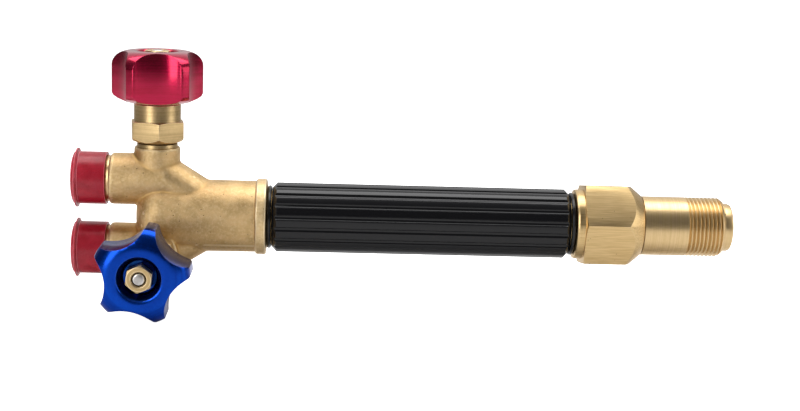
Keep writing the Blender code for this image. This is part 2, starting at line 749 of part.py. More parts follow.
def main():
    valve_body()
    for gas, finish, turn in (
        ("fuel", RED_ANODISED, FUEL_KNOB_TURN),
        ("oxygen", BLUE_ANODISED, OXYGEN_KNOB_TURN),
    ):
        gland_nut(gas)
        packing(gas)
        stem(gas)
        knob(gas, finish, turn)
        knob_nut(gas)
        inlet_cap(gas)
    grip_tube()
    grip_rings()
    gas_tubes()
    head()
    outlet_spigot()
    bpy.context.view_layer.update()
    graph = bpy.context.evaluated_depsgraph_get()
    parts = [obj for obj in PARTS.objects if obj.type == "MESH"]
    meshes = [settle(obj, graph) for obj in parts]
    for obj, mesh in zip(parts, meshes):
        obj.modifiers.clear()
        obj.data = mesh
    centre_on_origin()


main()
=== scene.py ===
import math

import bpy
from mathutils import Matrix, Vector


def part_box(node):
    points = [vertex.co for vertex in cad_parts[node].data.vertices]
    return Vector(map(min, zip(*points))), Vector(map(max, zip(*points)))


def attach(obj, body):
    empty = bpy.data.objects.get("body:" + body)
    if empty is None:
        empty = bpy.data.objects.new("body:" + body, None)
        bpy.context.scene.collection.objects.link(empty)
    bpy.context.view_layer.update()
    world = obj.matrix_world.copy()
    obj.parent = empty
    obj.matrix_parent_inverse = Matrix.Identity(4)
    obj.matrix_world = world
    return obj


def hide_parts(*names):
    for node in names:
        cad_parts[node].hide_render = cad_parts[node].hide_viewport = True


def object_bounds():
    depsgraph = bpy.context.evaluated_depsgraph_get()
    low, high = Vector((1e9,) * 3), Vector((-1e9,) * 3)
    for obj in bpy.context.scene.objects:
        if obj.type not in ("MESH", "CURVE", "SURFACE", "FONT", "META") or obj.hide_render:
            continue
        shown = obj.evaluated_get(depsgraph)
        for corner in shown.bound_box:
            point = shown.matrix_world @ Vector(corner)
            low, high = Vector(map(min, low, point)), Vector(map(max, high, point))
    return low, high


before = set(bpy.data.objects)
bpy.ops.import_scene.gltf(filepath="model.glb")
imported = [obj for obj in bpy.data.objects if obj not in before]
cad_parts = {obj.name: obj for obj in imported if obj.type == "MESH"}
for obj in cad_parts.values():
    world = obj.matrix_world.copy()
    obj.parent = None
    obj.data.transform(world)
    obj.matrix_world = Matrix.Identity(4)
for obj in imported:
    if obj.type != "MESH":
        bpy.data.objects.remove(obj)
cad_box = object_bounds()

# Where the handle lies
# Lengths along the handle run from the front face of the valve body's collar, 1.8 mm behind the grip, and
# every piece below is placed from that face and from the grip's own axis.

MM = 0.001
grip_low, grip_high = [Vector(corner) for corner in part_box("grip_tube")]
grip_middle = (grip_low + grip_high) / 2
COLLAR_FACE = Vector((grip_low.x - 1.8 * MM, grip_middle.y, grip_middle.z))


def at(x, y, z):
    """A point given in millimetres from the collar's face, on the handle's axis."""
    return COLLAR_FACE + Vector((x, y, z)) * MM


# Camera, floor and light
# A long lens looks a little down on the handle. A wide soft box hangs above and behind it, a tall narrow
# one stands in front on the left and a small weak one on the right, and a dome that is dark in front and
# bright at the back fills the rest. The floor shines white for the camera only, so it shows no shadow.

camera = bpy.data.objects.new("camera", bpy.data.cameras.new("camera"))
bpy.context.scene.collection.objects.link(camera)
camera.data.lens = 68.19
camera.data.sensor_width = 36.0
camera.data.clip_start = 0.01
camera.data.clip_end = 60.0
camera.matrix_world = (
    Matrix.Translation(at(19.0, -479.466, 93.201))
    @ Matrix.Rotation(math.radians(-2.832), 4, "Z")
    @ Matrix.Rotation(math.radians(79.55), 4, "X")
    @ Matrix.Rotation(math.radians(1.899), 4, "Z")
)
bpy.context.scene.camera = camera
bpy.context.scene.view_settings.view_transform = "Standard"


def soft_box(name, place, target, width, depth, power):
    """A rectangular lamp, in metres and watts, that faces its target."""
    light = bpy.data.lights.new(name, "AREA")
    light.shape = "RECTANGLE"
    light.size = width
    light.size_y = depth
    light.energy = power
    obj = bpy.data.objects.new(name, light)
    bpy.context.scene.collection.objects.link(obj)
    obj.location = place
    obj.rotation_euler = (Vector(target) - Vector(place)).to_track_quat("-Z", "Y").to_euler()


soft_box("overhead_soft_box", (0.0, 0.06, 0.50), (0.0, 0.0, 0.0), 0.9, 0.32, 2.9)
soft_box("left_strip_box", (-0.40, -0.49, 0.20), (-0.03, 0.0, 0.0), 0.22, 0.5, 1.5)
soft_box("right_soft_box", (0.50, -0.10, 0.14), (0.0, 0.0, 0.0), 0.30, 0.30, 0.55)


def new_node(tree, kind, inputs=None, **settings):
    """Add a shader node. An input takes a value, or the output of another node."""
    node = tree.nodes.new(kind)
    for key, value in settings.items():
        setattr(node, key, value)
    for key, value in (inputs or {}).items():
        if isinstance(value, bpy.types.NodeSocket):
            tree.links.new(value, node.inputs[key])
        else:
            node.inputs[key].default_value = value
    return node


def colour_steps(tree, factor, stops):
    """A colour ramp with the given (position, colour) stops."""
    ramp = new_node(tree, "ShaderNodeValToRGB", {"Fac": factor})
    elements = ramp.color_ramp.elements
    while len(elements) < len(stops):
        elements.new(0.5)
    for element, (position, colour) in zip(elements, stops):
        element.position = position
        element.color = (*colour, 1.0)
    return ramp.outputs["Color"]


world = bpy.data.worlds.new("studio_dome")
bpy.context.scene.world = world
world.use_nodes = True
sky = world.node_tree
direction = new_node(sky, "ShaderNodeTexCoord").outputs["Generated"]
behind = new_node(
    sky, "ShaderNodeVectorMath", {0: direction, 1: (0.0, 0.6, 0.8)}, operation="DOT_PRODUCT"
).outputs["Value"]
steps = ((0.0, 0.12), (0.30, 0.14), (0.55, 0.28), (0.78, 0.80), (1.0, 1.0))
dome = colour_steps(sky, behind, [(place, (tone,) * 3) for place, tone in steps])
sky.links.new(dome, sky.nodes["Background"].inputs["Color"])
sky.nodes["Background"].inputs["Strength"].default_value = 1.0

bpy.ops.object.select_all(action="DESELECT")
floor_height = cad_box[0][2]
bpy.ops.mesh.primitive_plane_add(size=40.0, location=(0.0, 0.0, floor_height))
floor = bpy.context.object
floor.name = "floor"
floor_paint = bpy.data.materials.new("floor_paper")
floor_paint.use_nodes = True
floor_shader = floor_paint.node_tree.nodes["Principled BSDF"]
floor_shader.inputs["Base Color"].default_value = (0.80, 0.80, 0.80, 1.0)
floor_shader.inputs["Roughness"].default_value = 0.9
floor_shader.inputs["Specular IOR Level"].default_value = 0.1
floor_shader.inputs["Emission Color"].default_value = (1.0, 1.0, 1.0, 1.0)
seen = new_node(floor_paint.node_tree, "ShaderNodeLightPath").outputs["Is Camera Ray"]
floor_paint.node_tree.links.new(seen, floor_shader.inputs["Emission Strength"])
floor.data.materials.append(floor_paint)


# Valve body, forged part
# One brass forging: a barrel, two inlet ports that slope into it, and a boss for each needle valve. It is
# blasted matt all over, so its joints are softly rounded and its skin has a fine grain with a few pits.

AXIS = Matrix.Translation(COLLAR_FACE) @ Matrix.Rotation(math.pi / 2, 4, "Y")
PORT_OFFSET = 11.3
INLET = {}
VALVE = {}
for gas, side, lean, along in (("fuel", 1, 0.0, -35.0), ("oxygen", -1, math.pi / 2, -35.5)):
    turned_back = Matrix.Rotation(-math.pi / 2, 4, "Y")
    height = side * PORT_OFFSET
    INLET[gas] = Matrix.Translation(at(0.0, 0.0, height)) @ turned_back
    VALVE[gas] = Matrix.Translation(at(along, 0.0, height)) @ Matrix.Rotation(lean, 4, "X")
# The oxygen valve's pieces stand this much further out than the fuel valve's.
REACH = {"fuel": 0.0, "oxygen": 2.8}


def start_edit(obj, select="SELECT"):
    bpy.ops.object.select_all(action="DESELECT")
    obj.select_set(True)
    bpy.context.view_layer.objects.active = obj
    bpy.ops.object.mode_set(mode="EDIT")
    bpy.ops.mesh.select_all(action=select)


def end_edit():
    bpy.ops.object.mode_set(mode="OBJECT")


def place(obj, matrix):
    """Put a piece where it belongs and keep that place in its mesh."""
    bpy.ops.object.select_all(action="DESELECT")
    obj.select_set(True)
    bpy.context.view_layer.objects.active = obj
    obj.matrix_world = matrix
    bpy.ops.object.transform_apply(location=True, rotation=True, scale=True)
    return obj


def face_outward(obj):
    """Turn the faces of a closed piece outward, whichever way they lie."""
    start_edit(obj)
    bpy.ops.mesh.normals_make_consistent(inside=False)
    end_edit()
    points = [vertex.co for vertex in obj.data.vertices]
    volume = 0.0
    for face in obj.data.polygons:
        first, *rest = [points[index] for index in face.vertices]
        for second, third in zip(rest, rest[1:]):
            volume += first.dot(second.cross(third))
    if volume < 0.0:
        start_edit(obj)
        bpy.ops.mesh.flip_normals()
        end_edit()


def profile_line(name, profile):
    """A chain of edges through (radius, height) points in millimetres, with its last point selected."""
    radius, height = profile[0]
    bpy.ops.object.select_all(action="DESELECT")
    bpy.ops.mesh.primitive_plane_add(size=0.1 * MM)
    obj = bpy.context.object
    obj.name = name
    bpy.ops.object.mode_set(mode="EDIT")
    bpy.ops.mesh.select_mode(type="VERT")
    bpy.ops.mesh.select_all(action="SELECT")
    bpy.ops.mesh.merge(type="CENTER")
    bpy.ops.transform.translate(value=(radius * MM, 0.0, height * MM))
    for (old_radius, old_height), (radius, height) in zip(profile, profile[1:]):
        step = ((radius - old_radius) * MM, 0.0, (height - old_height) * MM)
        bpy.ops.mesh.extrude_region_move(TRANSFORM_OT_translate={"value": step})
    end_edit()
    return obj


def lathe(name, profile, matrix, steps=96, ring=False):
    """Turn a profile about the Z axis of the matrix. A ring joins the profile's last point to its first."""
    obj = profile_line(name, profile)
    if ring:
        points = obj.data.vertices
        for corner in (profile[0], profile[-1]):
            wanted = Vector((corner[0] * MM, 0.0, corner[1] * MM))
            min(points, key=lambda point: (point.co - wanted).length).select = True
    bpy.ops.object.mode_set(mode="EDIT")
    if ring:
        bpy.ops.mesh.edge_face_add()
    bpy.ops.mesh.select_all(action="SELECT")
    bpy.ops.mesh.spin(steps=steps, angle=math.tau, center=(0.0, 0.0, 0.0), axis=(0.0, 0.0, 1.0))
    bpy.ops.mesh.select_all(action="SELECT")
    bpy.ops.mesh.remove_doubles(threshold=0.002 * MM)
    end_edit()
    face_outward(obj)
    return place(obj, matrix)


def apply_modifier(obj, kind, **settings):
    bpy.ops.object.select_all(action="DESELECT")
    obj.select_set(True)
    bpy.context.view_layer.objects.active = obj
    modifier = obj.modifiers.new(kind.title(), kind)
    for key, value in settings.items():
        setattr(modifier, key, value)
    bpy.ops.object.modifier_apply(modifier=modifier.name)


def combine(obj, other, operation):
    apply_modifier(obj, "BOOLEAN", operation=operation, object=other, solver="EXACT")
    bpy.data.objects.remove(other)


def break_edges(obj, width, segments=2, angle=28.0, material=-1):
    """Bevel every sharp edge and shade the piece smooth."""
    apply_modifier(
        obj,
        "BEVEL",
        width=width * MM,
        segments=segments,
        limit_method="ANGLE",
        angle_limit=math.radians(angle),
        use_clamp_overlap=True,
        material=material,
    )
    bpy.ops.object.shade_smooth_by_angle(angle=math.radians(35.0))


def join(main, others):
    bpy.ops.object.select_all(action="DESELECT")
    for obj in others:
        obj.select_set(True)
    main.select_set(True)
    bpy.context.view_layer.objects.active = main
    bpy.ops.object.join()
    return main


def forged_port(gas, side):
    """A round port, its far end pulled down into the barrel and its face rounded off."""
    low = 31.8
    high = 48.9
    bpy.ops.object.select_all(action="DESELECT")
    bpy.ops.mesh.primitive_cylinder_add(vertices=72, radius=8.2 * MM, depth=(high - low) * MM)
    port = bpy.context.object
    place(port, Matrix.Translation((0.0, 0.0, (low + high) / 2 * MM)))
    start_edit(port, "DESELECT")
    bpy.ops.mesh.select_mode(type="FACE")
    end_edit()
    for face in port.data.polygons:
        face.select = face.normal.z < -0.9
    bpy.ops.object.mode_set(mode="EDIT")
    slope = (-side * 8.1 * MM, 0.0, -13.1 * MM)
    bpy.ops.mesh.extrude_region_move(TRANSFORM_OT_translate={"value": slope})
    end_edit()
    for face in port.data.polygons:
        face.select = face.normal.z > 0.9
    bpy.ops.object.mode_set(mode="EDIT")
    rise = (0.0, 0.0, 0.8 * MM)
    bpy.ops.mesh.extrude_region_move(TRANSFORM_OT_translate={"value": rise})
    bpy.ops.transform.resize(value=(0.93, 0.93, 1.0))
    end_edit()
    return place(port, INLET[gas])


barrel_rear = 11.55
end_round = 8.0
round_start = -33.2
barrel = [(0.0, -2.0), (11.4, -2.0), (barrel_rear, round_start)]
for step in range(1, 9):
    angle = math.pi / 2 * step / 8
    radius = barrel_rear - end_round * (1 - math.cos(angle))
    barrel.append((radius, round_start - end_round * math.sin(angle)))
barrel.append((0.0, round_start - end_round))
forging = lathe("valve_body_forging", barrel, AXIS)
lumps = [forged_port("fuel", 1), forged_port("oxygen", -1)]
fuel_boss = [(0.0, 10.6), (7.0, 10.6), (7.25, 10.3), (7.25, -4.0), (0.0, -4.0)]
oxygen_boss = [(0.0, 10.0), (7.7, 10.0), (8.0, 9.7), (8.0, -4.0), (0.0, -4.0)]
lumps.append(lathe("fuel_boss", fuel_boss, VALVE["fuel"], 72))
lumps.append(lathe("oxygen_boss", oxygen_boss, VALVE["oxygen"], 72))
join(forging, lumps)
apply_modifier(forging, "REMESH", mode="VOXEL", voxel_size=0.32 * MM)
apply_modifier(forging, "SMOOTH", factor=0.5, iterations=9)
bpy.ops.object.shade_smooth()


def new_group(name, inputs, outputs):
    """A shader node group with named inputs and outputs, and its two end nodes."""
    group = bpy.data.node_groups.new(name, "ShaderNodeTree")
    for socket, kind, value in inputs:
        made = group.interface.new_socket(name=socket, in_out="INPUT", socket_type=kind)
        if value is not None:
            made.default_value = value
    for socket, kind in outputs:
        group.interface.new_socket(name=socket, in_out="OUTPUT", socket_type=kind)
    return group, group.nodes.new("NodeGroupInput"), group.nodes.new("NodeGroupOutput")


def in_mm(tree, source):
    return new_node(tree, "ShaderNodeVectorMath", {0: source, 3: 1000.0}, operation="SCALE").outputs[0]


def maths(tree, operation, first, second=0.0, third=0.0, clamp=False):
    inputs = {0: first, 1: second, 2: third}
    return new_node(tree, "ShaderNodeMath", inputs, operation=operation, use_clamp=clamp).outputs[0]


def spread(tree, value, low, high):
    """Stretch the range low to high over 0 to 1, and cut off the rest."""
    inputs = {"Value": value, "From Min": low, "From Max": high}
    return new_node(tree, "ShaderNodeMapRange", inputs).outputs["Result"]


def blasted_skin_group():
    """Fine grain, scattered pits and broad patches of a blasted brass skin."""
    group, given, result = new_group(
        "blasted_skin",
        [("Vector", "NodeSocketVector", None), ("Grain", "NodeSocketFloat", 5.0)],
        [("Height", "NodeSocketFloat"), ("Patches", "NodeSocketFloat"), ("Pits", "NodeSocketFloat")],
    )
    vector = in_mm(group, given.outputs["Vector"])
    grain = new_node(
        group,
        "ShaderNodeTexNoise",
        {"Vector": vector, "Scale": given.outputs["Grain"], "Detail": 3.0, "Roughness": 0.65},
    ).outputs["Fac"]
    lumps = new_node(group, "ShaderNodeTexNoise", {"Vector": vector, "Scale": 0.9, "Detail": 2.0})
    patches = new_node(group, "ShaderNodeTexNoise", {"Vector": vector, "Scale": 0.22, "Detail": 4.0})
    cells = new_node(
        group, "ShaderNodeTexVoronoi", {"Vector": vector, "Scale": 0.45, "Randomness": 1.0}
    )
    pits = spread(group, cells.outputs["Distance"], 0.10, 0.04)
    rough = maths(group, "MULTIPLY_ADD", lumps.outputs["Fac"], 0.8, grain)
    height = maths(group, "MULTIPLY_ADD", pits, -2.2, rough)
    group.links.new(height, result.inputs["Height"])
    group.links.new(spread(group, patches.outputs["Fac"], 0.35, 0.65), result.inputs["Patches"])
    group.links.new(pits, result.inputs["Pits"])
    return group


def edge_wear_and_corner_shade_group():
    """A mask of the outer edges, broken up a little, for wear, and one of the inner corners, for painted
    shade.
    """
    group, given, result = new_group(
        "edge_wear_and_corner_shade",
        [("Vector", "NodeSocketVector", None), ("Amount", "NodeSocketFloat", 0.04)],
        [("Edges", "NodeSocketFloat"), ("Corner Shade", "NodeSocketFloat")],
    )
    vector = in_mm(group, given.outputs["Vector"])
    point = new_node(group, "ShaderNodeNewGeometry").outputs["Pointiness"]
    noise = new_node(group, "ShaderNodeTexNoise", {"Vector": vector, "Scale": 1.3, "Detail": 3.0})
    broken = maths(group, "MULTIPLY_ADD", noise.outputs["Fac"], 0.05, -0.025)
    uneven = maths(group, "ADD", point, broken)
    over = maths(group, "SUBTRACT", uneven, 0.5)
    edges = maths(group, "DIVIDE", over, given.outputs["Amount"], clamp=True)
    under = maths(group, "SUBTRACT", 0.5, point)
    corners = maths(group, "DIVIDE", under, given.outputs["Amount"], clamp=True)
    group.links.new(edges, result.inputs["Edges"])
    group.links.new(corners, result.inputs["Corner Shade"])
    return group


BLASTED_SKIN = blasted_skin_group()
EDGE_WEAR_AND_CORNER_SHADE = edge_wear_and_corner_shade_group()


def new_material(name, **values):
    """A Principled material with its plain values set, and its tree, shader and Object coordinates."""
    material = bpy.data.materials.new(name)
    material.use_nodes = True
    tree = material.node_tree
    shader = tree.nodes["Principled BSDF"]
    for key, value in values.items():
        shader.inputs[key.replace("_", " ").title()].default_value = value
    return material, tree, shader, new_node(tree, "ShaderNodeTexCoord").outputs["Object"]


def mixed(tree, factor, first, second, blend="MIX"):
    inputs = {"Factor": factor}
    node = new_node(tree, "ShaderNodeMix", inputs, data_type="RGBA", blend_type=blend)
    for socket, value in ((node.inputs[6], first), (node.inputs[7], second)):
        if isinstance(value, bpy.types.NodeSocket):
            tree.links.new(value, socket)
        else:
            socket.default_value = (*value, 1.0)
    return node.outputs[2]


def bump(tree, shader, height, strength, depth):
    inputs = {"Height": height, "Strength": strength, "Distance": depth * MM}
    tree.links.new(new_node(tree, "ShaderNodeBump", inputs).outputs["Normal"], shader.inputs["Normal"])


def forged_brass():
    material, tree, shader, here = new_material("forged_brass", metallic=1.0)
    skin = new_node(tree, "ShaderNodeGroup", node_tree=BLASTED_SKIN)
    wear_and_shade = new_node(tree, "ShaderNodeGroup", node_tree=EDGE_WEAR_AND_CORNER_SHADE)
    tree.links.new(here, skin.inputs["Vector"])
    tree.links.new(here, wear_and_shade.inputs["Vector"])
    skin.inputs["Grain"].default_value = 4.0
    wear_and_shade.inputs["Amount"].default_value = 0.03
    colour = mixed(tree, skin.outputs["Patches"], (0.52, 0.345, 0.15), (0.70, 0.485, 0.235))
    # Painted shade: the forging's inner corners and joints are darkened to a deeper brown.
    colour = mixed(tree, wear_and_shade.outputs["Corner Shade"], colour, (0.56, 0.34, 0.12))
    colour = mixed(tree, wear_and_shade.outputs["Edges"], colour, (0.80, 0.62, 0.36))
    colour = mixed(tree, skin.outputs["Pits"], colour, (0.22, 0.12, 0.04))
    tree.links.new(colour, shader.inputs["Base Color"])
    rough = maths(tree, "MULTIPLY_ADD", skin.outputs["Patches"], 0.08, 0.42)
    tree.links.new(rough, shader.inputs["Roughness"])
    bump(tree, shader, skin.outputs["Height"], 1.0, 0.09)
    return material


FORGED_BRASS = forged_brass()
forging.data.materials.clear()
forging.data.materials.append(FORGED_BRASS)
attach(forging, "handle")


# Valve body, machined part
# The collar, the spigot inside the grip, the inlet ends with their 9/16-18 threads and hose cones, and the
# bosses' necks are turned on the forging after it has been blasted, so their edges stay crisp.


def lathe_marks_group():
    """Fine rings left by a turning tool. The X of the vector runs along the axis of the turned piece."""
    group, given, result = new_group(
        "lathe_marks",
        [("Vector", "NodeSocketVector", None), ("Spacing", "NodeSocketFloat", 3.0)],
        [("Height", "NodeSocketFloat"), ("Streaks", "NodeSocketFloat")],
    )
    vector = in_mm(group, given.outputs["Vector"])
    flattened = new_node(group, "ShaderNodeMapping", {"Vector": vector, "Scale": (1.0, 0.012, 0.012)})
    rings = new_node(
        group,
        "ShaderNodeTexNoise",
        {"Vector": flattened.outputs[0], "Scale": given.outputs["Spacing"], "Detail": 3.0},
    ).outputs["Fac"]
    scuffs = new_node(group, "ShaderNodeTexNoise", {"Vector": vector, "Scale": 1.1, "Detail": 4.0})
    height = maths(group, "MULTIPLY_ADD", scuffs.outputs["Fac"], 0.35, rings)
    group.links.new(height, result.inputs["Height"])
    group.links.new(spread(group, height, 0.50, 0.85), result.inputs["Streaks"])
    return group


LATHE_MARKS = lathe_marks_group()


def along_axis(tree, source, axis):
    """The coordinates turned so that their X runs along the axis."""
    turns = {"X": (0.0, 0.0, 0.0), "Y": (0.0, 0.0, -math.pi / 2), "Z": (0.0, math.pi / 2, 0.0)}
    return new_node(tree, "ShaderNodeMapping", {"Vector": source, "Rotation": turns[axis]}).outputs[0]


def turned_metal(name, axis, dark, light, roughness, spacing=3.0, marks=0.035):
    """Bright turned metal with tool rings and soft dirty streaks."""
    material, tree, shader, here = new_material(name, metallic=1.0)
    lines = new_node(tree, "ShaderNodeGroup", node_tree=LATHE_MARKS)
    tree.links.new(along_axis(tree, here, axis), lines.inputs["Vector"])
    lines.inputs["Spacing"].default_value = spacing
    colour = mixed(tree, lines.outputs["Streaks"], dark, light)
    tree.links.new(colour, shader.inputs["Base Color"])
    rough = maths(tree, "MULTIPLY_ADD", lines.outputs["Streaks"], -0.08, roughness + 0.05)
    tree.links.new(rough, shader.inputs["Roughness"])
    bump(tree, shader, lines.outputs["Height"], marks, 0.03)
    return material


TURNED_BRASS = {"X": turned_metal("turned_brass", "X", (0.66, 0.47, 0.23), (0.74, 0.54, 0.29), 0.32)}
for axis, gas in (("Y", "oxygen"), ("Z", "fuel")):
    TURNED_BRASS[axis] = turned_metal(
        "turned_brass_" + gas, axis, (0.50, 0.355, 0.165), (0.62, 0.445, 0.225), 0.38
    )
WORN_BRASS = turned_metal("brass_worn_edge", "X", (0.82, 0.63, 0.36), (0.92, 0.76, 0.50), 0.34, 2.0)
VALVE_AXIS = {"fuel": "Z", "oxygen": "Y"}


def dress(obj, material, body, worn=None):
    """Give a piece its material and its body. Edges broken after this can take the worn one."""
    obj.data.materials.clear()
    obj.data.materials.append(material)
    if worn:
        obj.data.materials.append(worn)
    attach(obj, body)


def screw_thread(name, crest, root, pitch, low, high, matrix, steps=72):
    """A right-hand V thread as a solid bar, longer than low to high by a turn at each end."""
    turns = int((high - low) / pitch) + 3
    start = low - 1.5 * pitch
    profile = [(0.0, start), (root, start)]
    for turn in range(turns):
        base = start + turn * pitch
        profile.append((crest, base + 0.42 * pitch))
        profile.append((crest, base + 0.56 * pitch))
        profile.append((root, base + pitch))
    profile.append((0.0, start + turns * pitch))
    obj = profile_line(name, profile)
    apply_modifier(
        obj,
        "SCREW",
        axis="Z",
        angle=math.tau,
        screw_offset=pitch * MM,
        steps=steps,
        render_steps=steps,
        use_merge_vertices=False,
    )
    start_edit(obj)
    bpy.ops.mesh.remove_doubles(threshold=0.005 * MM)
    bpy.ops.mesh.select_all(action="SELECT")
    bpy.ops.mesh.fill_holes(sides=0)
    end_edit()
    face_outward(obj)
    # Turned a little, so that none of its facets lies on one of the piece that it shapes.
    return place(obj, matrix @ Matrix.Rotation(math.radians(1.3), 4, "Z"))


collar_profile = [
    (8.2, 10.0),
    (8.6, 9.6),
    (8.6, 0.0),
    (11.8, 0.0),
    (12.1, -0.3),
    (12.1, -3.0),
    (11.7, -3.4),
    (11.2, -3.6),
    (5.0, -3.6),
    (5.0, 10.0),
]
collar = lathe("valve_body_collar", collar_profile, AXIS, 128, ring=True)
dress(collar, FORGED_BRASS, "handle", WORN_BRASS)
break_edges(collar, 0.18, 3, material=1)
for gas in ("fuel", "oxygen"):
    blank = [
        (5.0, 59.2),
        (6.2, 59.2),
        (6.3, 59.1),
        (6.3, 51.7),
        (7.0, 51.2),
        (7.3, 51.0),
        (7.3, 47.0),
        (2.5, 47.0),
        (2.5, 55.2),
    ]
    end = lathe(gas + "_inlet_end", blank, INLET[gas], 72, ring=True)
    crests = [(5.8, 59.0), (6.5, 59.1), (7.14, 58.4), (7.14, 52.9), (6.3, 52.4), (5.8, 52.4)]
    crests = lathe(gas + "_thread", crests, INLET[gas], 80, ring=True)
    thread = screw_thread(
        "bar", crest=7.22, root=6.25, pitch=1.411, low=52.0, high=60.0, matrix=INLET[gas], steps=64
    )
    combine(crests, thread, "INTERSECT")
    join(end, [crests])
    break_edges(end, 0.06, 1, 50.0)
    dress(end, TURNED_BRASS["X"], "handle")
    reach = REACH[gas]
    foot = 7.0 if gas == "fuel" else 7.25
    neck = [
        (3.7, 16.2 + reach),
        (4.6, 16.2 + reach),
        (5.1, 15.7 + reach),
        (5.1, 11.7 + reach),
        (6.4, 11.7 + reach),
        (6.4, 10.6 + reach),
        (foot, 10.6 + reach),
        (foot, 8.0),
        (3.7, 8.0),
    ]
    neck = lathe(gas + "_boss_neck", neck, VALVE[gas], 72, ring=True)
    break_edges(neck, 0.12, 2)
    dress(neck, TURNED_BRASS[VALVE_AXIS[gas]], "handle")
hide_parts("valve_body")


# Gland nuts
# Each is turned from brass hexagon bar, with a round collar above the hexagon. It screws down over the
# boss and squeezes the packing round the stem.


def hexagon_bar(flats, low, high, turn, matrix):
    """A hexagonal bar along the matrix's Z axis. Its first corner lies on the local Y axis."""
    corner = flats / 2 / math.cos(math.pi / 6)
    middle = Matrix.Translation((0.0, 0.0, (low + high) / 2 * MM))
    bpy.ops.object.select_all(action="DESELECT")
    bpy.ops.mesh.primitive_cylinder_add(vertices=6, radius=corner * MM, depth=(high - low) * MM)
    return place(bpy.context.object, matrix @ middle @ Matrix.Rotation(math.radians(turn), 4, "Z"))


def gland_nut(gas):
    flats = 15.9
    corner = flats / 2 / math.cos(math.pi / 6)
    lift = REACH[gas]
    profile = [
        (7.1, 24.4),
        (7.35, 24.15),
        (7.35, 18.9),
        (corner - 1.1, 18.9),
        (corner - 0.3, 18.7),
        (corner + 0.1, 18.4),
        (corner + 0.1, 13.9),
        (corner - 1.3, 12.6),
        (corner - 3.1, 11.9),
        (5.4, 11.9),
        (5.4, 20.7),
        (2.9, 20.7),
        (2.9, 24.4),
    ]
    profile = [(radius, height + lift) for radius, height in profile]
    nut = lathe(gas + "_gland_nut_turned", profile, VALVE[gas], 96, ring=True)
    bar = hexagon_bar(flats, low=10.0 + lift, high=26.0 + lift, turn=9.5, matrix=VALVE[gas])
    combine(nut, bar, "INTERSECT")
    dress(nut, TURNED_BRASS[VALVE_AXIS[gas]], "handle", WORN_BRASS)
    break_edges(nut, 0.13, 2, 20.0, material=1)
    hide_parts(gas + "_gland_nut")


gland_nut("fuel")
gland_nut("oxygen")


# Needle stems
# Turned from stainless bar. The slim upper end passes through the knob and is left rough where it was
# parted off; the needle at the lower end closes the seat.

STEEL = {}
for gas in ("fuel", "oxygen"):
    grey = ((0.42, 0.40, 0.38), (0.82, 0.80, 0.78))
    STEEL[gas] = turned_metal("stem_steel_" + gas, VALVE_AXIS[gas], *grey, 0.34, 5.0, 0.12)
for gas in ("fuel", "oxygen"):
    lift = REACH[gas]
    profile = [
        (0.0, 41.25 + lift),
        (1.1, 41.25 + lift),
        (1.6, 41.1 + lift),
        (1.85, 40.7 + lift),
        (1.85, 30.4 + lift),
        (2.6, 30.4 + lift),
        (2.6, 12.0 + lift),
        (3.4, 11.5 + lift),
        (3.4, 3.0),
        (2.3, 2.5),
        (2.3, -1.7),
        (0.7, -2.6),
        (0.0, -2.6),
    ]
    stem = lathe(gas + "_stem_turned", profile, VALVE[gas], 48)
    break_edges(stem, 0.08, 2)
    dress(stem, STEEL[gas], gas + "_needle")
    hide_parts(gas + "_stem")


# Knobs
# Aluminium, turned and then milled with five round notches, which leave five grips. The fuel knob is
# anodised red and the oxygen knob blue. A nut in the recess on top holds each to its stem.


def anodised(name, axis, dark, light, coat):
    """Dyed, satin aluminium with fine turning rings and cloudy patches, under its clear skin."""
    material, tree, shader, here = new_material(
        name, metallic=1.0, coat_weight=coat, coat_roughness=0.12
    )
    lines = new_node(tree, "ShaderNodeGroup", node_tree=LATHE_MARKS)
    tree.links.new(along_axis(tree, here, axis), lines.inputs["Vector"])
    lines.inputs["Spacing"].default_value = 2.2
    colour = mixed(tree, lines.outputs["Streaks"], dark, light)
    tree.links.new(colour, shader.inputs["Base Color"])
    rough = maths(tree, "MULTIPLY_ADD", lines.outputs["Streaks"], 0.06, 0.20)
    tree.links.new(rough, shader.inputs["Roughness"])
    bump(tree, shader, lines.outputs["Height"], 0.06, 0.03)
    return material


ANODISED = {
    "fuel": anodised("red_anodised", "Z", (0.36, 0.002, 0.030), (0.48, 0.006, 0.055), 0.45),
    "oxygen": anodised("blue_anodised", "Y", (0.001, 0.034, 0.30), (0.002, 0.056, 0.44), 0.10),
}
WORN_DYE = {
    "fuel": anodised("red_worn_edge", "Z", (0.62, 0.10, 0.16), (0.80, 0.22, 0.28), 0.45),
    "oxygen": anodised("blue_worn_edge", "Y", (0.06, 0.14, 0.60), (0.16, 0.26, 0.80), 0.10),
}
KNOB_TURN = {"fuel": 96.5, "oxygen": 78.4}


def arc(centre, radius, start, end, steps):
    """Points on an arc from one angle to another, the short way round."""
    swing = (end - start + math.pi) % math.tau - math.pi
    points = []
    for step in range(steps + 1):
        angle = start + swing * step / steps
        points.append(centre + Vector((math.cos(angle), math.sin(angle))) * radius)
    return points


def lobed_outline(rim, notch, distance, fillet):
    """The plan of a knob with five round notches, its grips rounded off where they meet the rim."""
    inner = rim - fillet
    outer = notch + fillet
    half = math.acos((inner**2 + distance**2 - outer**2) / (2 * inner * distance))
    share = math.radians(72.0)
    points = []
    for number in range(5):
        middle = (number + 0.5) * share
        hollow = Vector((math.cos(middle), math.sin(middle))) * distance
        before = Vector((math.cos(middle - half), math.sin(middle - half))) * inner
        after = Vector((math.cos(middle + half), math.sin(middle + half))) * inner
        first = math.atan2(*(hollow - before).yx)
        last = math.atan2(*(hollow - after).yx)
        points += arc(before, fillet, middle - half, first, 8)
        points += arc(hollow, notch, first + math.pi, last + math.pi, 28)[1:-1]
        points += arc(after, fillet, last, middle + half, 8)
        points += arc(Vector((0.0, 0.0)), rim, middle + half, middle + share - half, 6)[1:-1]
    return points


